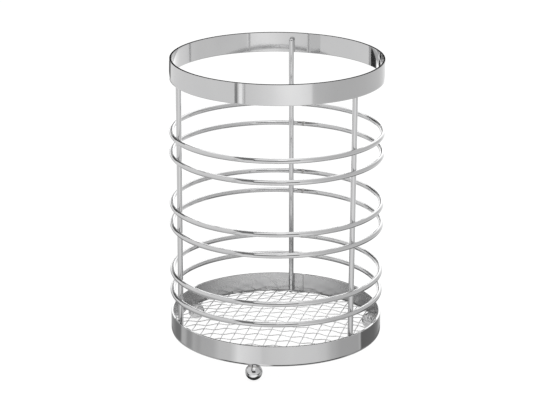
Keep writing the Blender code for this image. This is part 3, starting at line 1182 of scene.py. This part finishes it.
    def on_band(self, tree: NodeTree, share: NodeSocket, out: NodeSocket) -> NodeSocket:
        """Return where on the base band the camera sees a place on the floor mirrored.

        For a far camera in front, a place at azimuth a and radius r is mirrored at
        the azimuth n with R·sin(n) = r·sin(2n - a), for the band's radius R. The
        nodes step three times from n = a / 2 to n = (a + asin(R·sin(n) / r)) / 2.

        Args:
            tree: The node tree.
            share: The place's azimuth as a share of a turn.
            out: Its radius.

        Returns:
            The share of the half turn that the camera sees, rising to the right.
        """
        azimuth = add_node(tree, "MapRange", {"Value": share, "To Min": -pi, "To Max": pi})
        radii = {0: CAGE.band_outer_radius, 1: out}
        ratio = add_node(tree, "Math", radii, operation="DIVIDE", use_clamp=True)
        at = add_node(tree, "Math", {0: azimuth, 1: 0.5}, operation="MULTIPLY")
        for _ in range(3):
            sine = add_node(tree, "Math", {0: at}, operation="SINE")
            short = add_node(tree, "Math", {0: sine, 1: ratio}, operation="MULTIPLY")
            bend = add_node(tree, "Math", {0: short}, operation="ARCSINE")
            both = add_node(tree, "Math", {0: azimuth, 1: bend}, operation="ADD")
            at = add_node(tree, "Math", {0: both, 1: 0.5}, operation="MULTIPLY")
        return add_node(tree, "MapRange", {"Value": at, "From Min": -pi / 2, "From Max": pi / 2})

    def floor_material(self) -> Material:
        """Return the floor's white, which keeps the object's shadow.

        Chrome sees the floor with light and shade painted round the base: a painted
        shadow below the band, painted streaks of light and shade next to it and plain
        further out.

        Returns:
            The material.
        """
        material = bpy.data.materials.new("white_sweep")
        tree = cleared(material)
        glossy = add_node(tree, "LightPath", give="Is Glossy Ray")
        place = add_node(tree, "TexCoord", give="Object")
        share = self.around_axis(tree, place)
        out = add_node(tree, "VectorMath", {0: place}, "Value", operation="LENGTH")
        inside = add_node(tree, "MapRange", {"Value": out, "From Max": self.inner_floor[-1][0] * MM})
        tone = add_node(tree, "ValToRGB", {"Fac": inside}, stops=self.as_shares(self.inner_floor))
        near = self.on_band(tree, share, out)
        for table, (first, last), by_band in self.rings:
            at = near if by_band else share
            band = add_node(tree, "ValToRGB", {"Fac": at}, stops=self.as_shares(table))
            edge = {"Value": out, "From Min": first, "From Max": last}
            past = add_node(tree, "MapRange", edge, interpolation_type="SMOOTHSTEP")
            tone = add_node(tree, "Mix", {0: past, 6: tone, 7: band}, 2, data_type="RGBA")
        grey = (self.floor_grey, self.floor_grey, self.floor_grey, 1.0)
        paper = add_node(tree, "BsdfDiffuse", {"Color": grey})
        glow = add_node(tree, "Emission", {"Strength": self.floor_glow})
        seen = add_node(tree, "AddShader", {0: paper, 1: glow})
        # Painted light and shade that only chrome sees: a painted shadow below the band and beside the
        # balls, and painted streaks next to it
        mirrored = add_node(tree, "Emission", {"Color": tone})
        mix = add_node(tree, "MixShader", {0: glossy, 1: seen, 2: mirrored})
        add_node(tree, "OutputMaterial", {"Surface": mix})
        return material

    def build(self) -> None:
        """Make the floor, the panels, the world and the lamp."""
        mesh = bpy.data.meshes.new("sweep")
        turn, _ = circle(self.floor_sides, self.floor_reach)
        points = around(turn) * self.floor_reach
        mesh.from_pydata(points.tolist(), [], [list(range(self.floor_sides))])
        mesh.materials.append(self.floor_material())
        add_object("sweep", mesh)
        for panel in self.panels:
            panel.build()
        self.world()
        self.lamp()

    def world(self) -> None:
        """Make the world: white to the camera, plain to matt surfaces, toned to chrome.

        Chrome sees the walls' tone up to 50 degrees and a white ceiling above 75.
        """
        world = bpy.data.worlds.new("studio")
        bpy.context.scene.world = world
        tree = cleared(world)
        glossy = add_node(tree, "LightPath", give="Is Glossy Ray")
        direction = add_node(tree, "TexCoord", give="Generated")
        share = self.around_axis(tree, direction)
        walls = add_node(tree, "ValToRGB", {"Fac": share}, stops=self.as_shares(self.walls))
        rise = add_node(tree, "SeparateXYZ", {0: direction}, "Z")
        low, high = self.ceiling_edge
        above = add_node(tree, "MapRange", {"Value": rise, "From Min": low, "From Max": high})
        tone = add_node(tree, "Mix", {0: above, 6: walls, 7: WHITE}, 2, data_type="RGBA")
        mirrored = add_node(tree, "Background", {"Color": tone})
        plain = add_node(tree, "Background", {"Color": WHITE})
        mix = add_node(tree, "MixShader", {0: glossy, 1: plain, 2: mirrored})
        add_node(tree, "OutputWorld", {"Surface": mix})

    def lamp(self) -> None:
        """Hang one soft box overhead, for the shadow on the floor."""
        light = bpy.data.lights.new("overhead_box", "AREA")
        light.shape = "DISK"
        light.size = self.lamp_size
        light.energy = self.lamp_power
        lamp = add_object("overhead_box", light)
        lamp.location = self.lamp_place
        lamp.rotation_euler = (*np.radians(self.lamp_tilt), 0.0)
        lamp.visible_glossy = False


@dataclass(frozen=True)
class PhotoCamera:
    """The photograph's camera, from a least squares fit to the bands and hoops.

    Attributes:
        place: Where it stands.
        pitch: How far it looks down, in radians.
        yaw: How far it looks to the right.
        roll: How far it leans.
        focal_pixels: Focal length in pixels of the image's width.
        image_width: The image's width in pixels.
        sensor_width: Width in millimetres of the film that stands for it.
        clip_start: The nearest distance that it sees.
    """

    place: Triple = (0.0, -1129.766 * MM, 452.82 * MM)
    pitch: float = 0.317280
    yaw: float = -0.000742
    roll: float = 0.00546989
    focal_pixels: float = 2101.606
    image_width: int = 550
    sensor_width: float = 36.0
    clip_start: float = 0.01

    def build(self) -> None:
        """Make the camera and use it."""
        data = bpy.data.cameras.new("photo_camera")
        data.sensor_width = self.sensor_width
        data.lens = self.focal_pixels / self.image_width * self.sensor_width
        data.clip_start = self.clip_start
        across, along = np.sin(self.yaw), np.cos(self.yaw)
        ahead = Vector((across * np.cos(self.pitch), along * np.cos(self.pitch), -np.sin(self.pitch)))
        level = Vector((along, -across, 0.0))
        upward = level.cross(ahead)
        right = np.cos(self.roll) * level + np.sin(self.roll) * upward
        top = np.cos(self.roll) * upward - np.sin(self.roll) * level
        turned = Matrix((right, top, -ahead)).transposed().to_4x4()
        camera = add_object("photo_camera", data)
        camera.matrix_world = Matrix.Translation(self.place) @ turned
        bpy.context.scene.camera = camera


def main() -> None:
    """Build the holder and its studio, sub-assembly by sub-assembly."""
    logging.basicConfig(level=logging.INFO, format="%(name)s: %(message)s")
    bpy.context.scene.view_settings.view_transform = "Standard"
    fine = 0.0002 * MM
    # Bright walls between dark welds and the painted dark line along the rim's upper edges, which stands in
    # for their dark reflection
    strip_plate = ChromePlate("chrome_on_rolled_strip", burnt_and_edge_shade="#383838", haze=0.42).build()
    # Smoother than strip, so that long streaks run unbroken round the hoops
    wire_plate = ChromePlate(
        "chrome_on_drawn_wire", line_pitch=0.3 * MM, line_depth=fine, ripple_depth=0.0012 * MM
    ).build()
    # The clearest mirror, without lines, which shows the room in small sharp patches
    ball_plate = ChromePlate(
        "chrome_on_polished_ball", gloss=(0.025, 0.04), line_depth=0.0, ripple_depth=0.002 * MM
    ).build()
    # Satin, so that the warp wires stay soft grey
    warp_plate = ChromePlate(
        "bright_plate_on_warp_wire", gloss=(0.10, 0.16), haze=0.3, line_depth=fine
    ).build()
    # Painted lighter than the warp wires' plate: a painted highlight that stands in for the brighter
    # reflection the weft wires catch. Also more satin, so that they read as light dashes
    weft_plate_painted_light = ChromePlate(
        "weft_wire_plate_painted_lighter", bright="#F2F2F2", thin="#EAEAEA", gloss=(0.14, 0.2), line_depth=fine
    ).build()
    strips = (
        Strip("rim_band", CAGE.rim_edge - CAGE.band_height, 72.0, ((69.0, 8.0),), lean=0.2 * MM),
        Strip(
            "base_band", CAGE.base_edge, 74.0, ((76.0, 4.0),),
            bottom_round=(0.58 * MM, 1.7 * MM), inner_haze=0.6, edge_painted_shade=0.0,
        ),
    )
    for strip in strips:
        strip.build(strip_plate)
    for number, height in enumerate(CAGE.hoop_heights, start=1):
        Hoop(number, height, 74.6).build(wire_plate)
    slips = ((-0.45 * MM, 0.6 * MM), (0.5 * MM, -0.3 * MM), (-0.45 * MM, 0.55 * MM))
    for (side, azimuth), slip in zip(CAGE.upright_azimuths, slips):
        Upright(side, azimuth, slip).build(wire_plate)
    for side, azimuth in CAGE.foot_azimuths:
        BallFoot(side, azimuth).build(ball_plate)
    WovenFloor().build((warp_plate, weft_plate_painted_light))
    Studio().build()
    PhotoCamera().build()


if __name__ == "__main__":
    main()
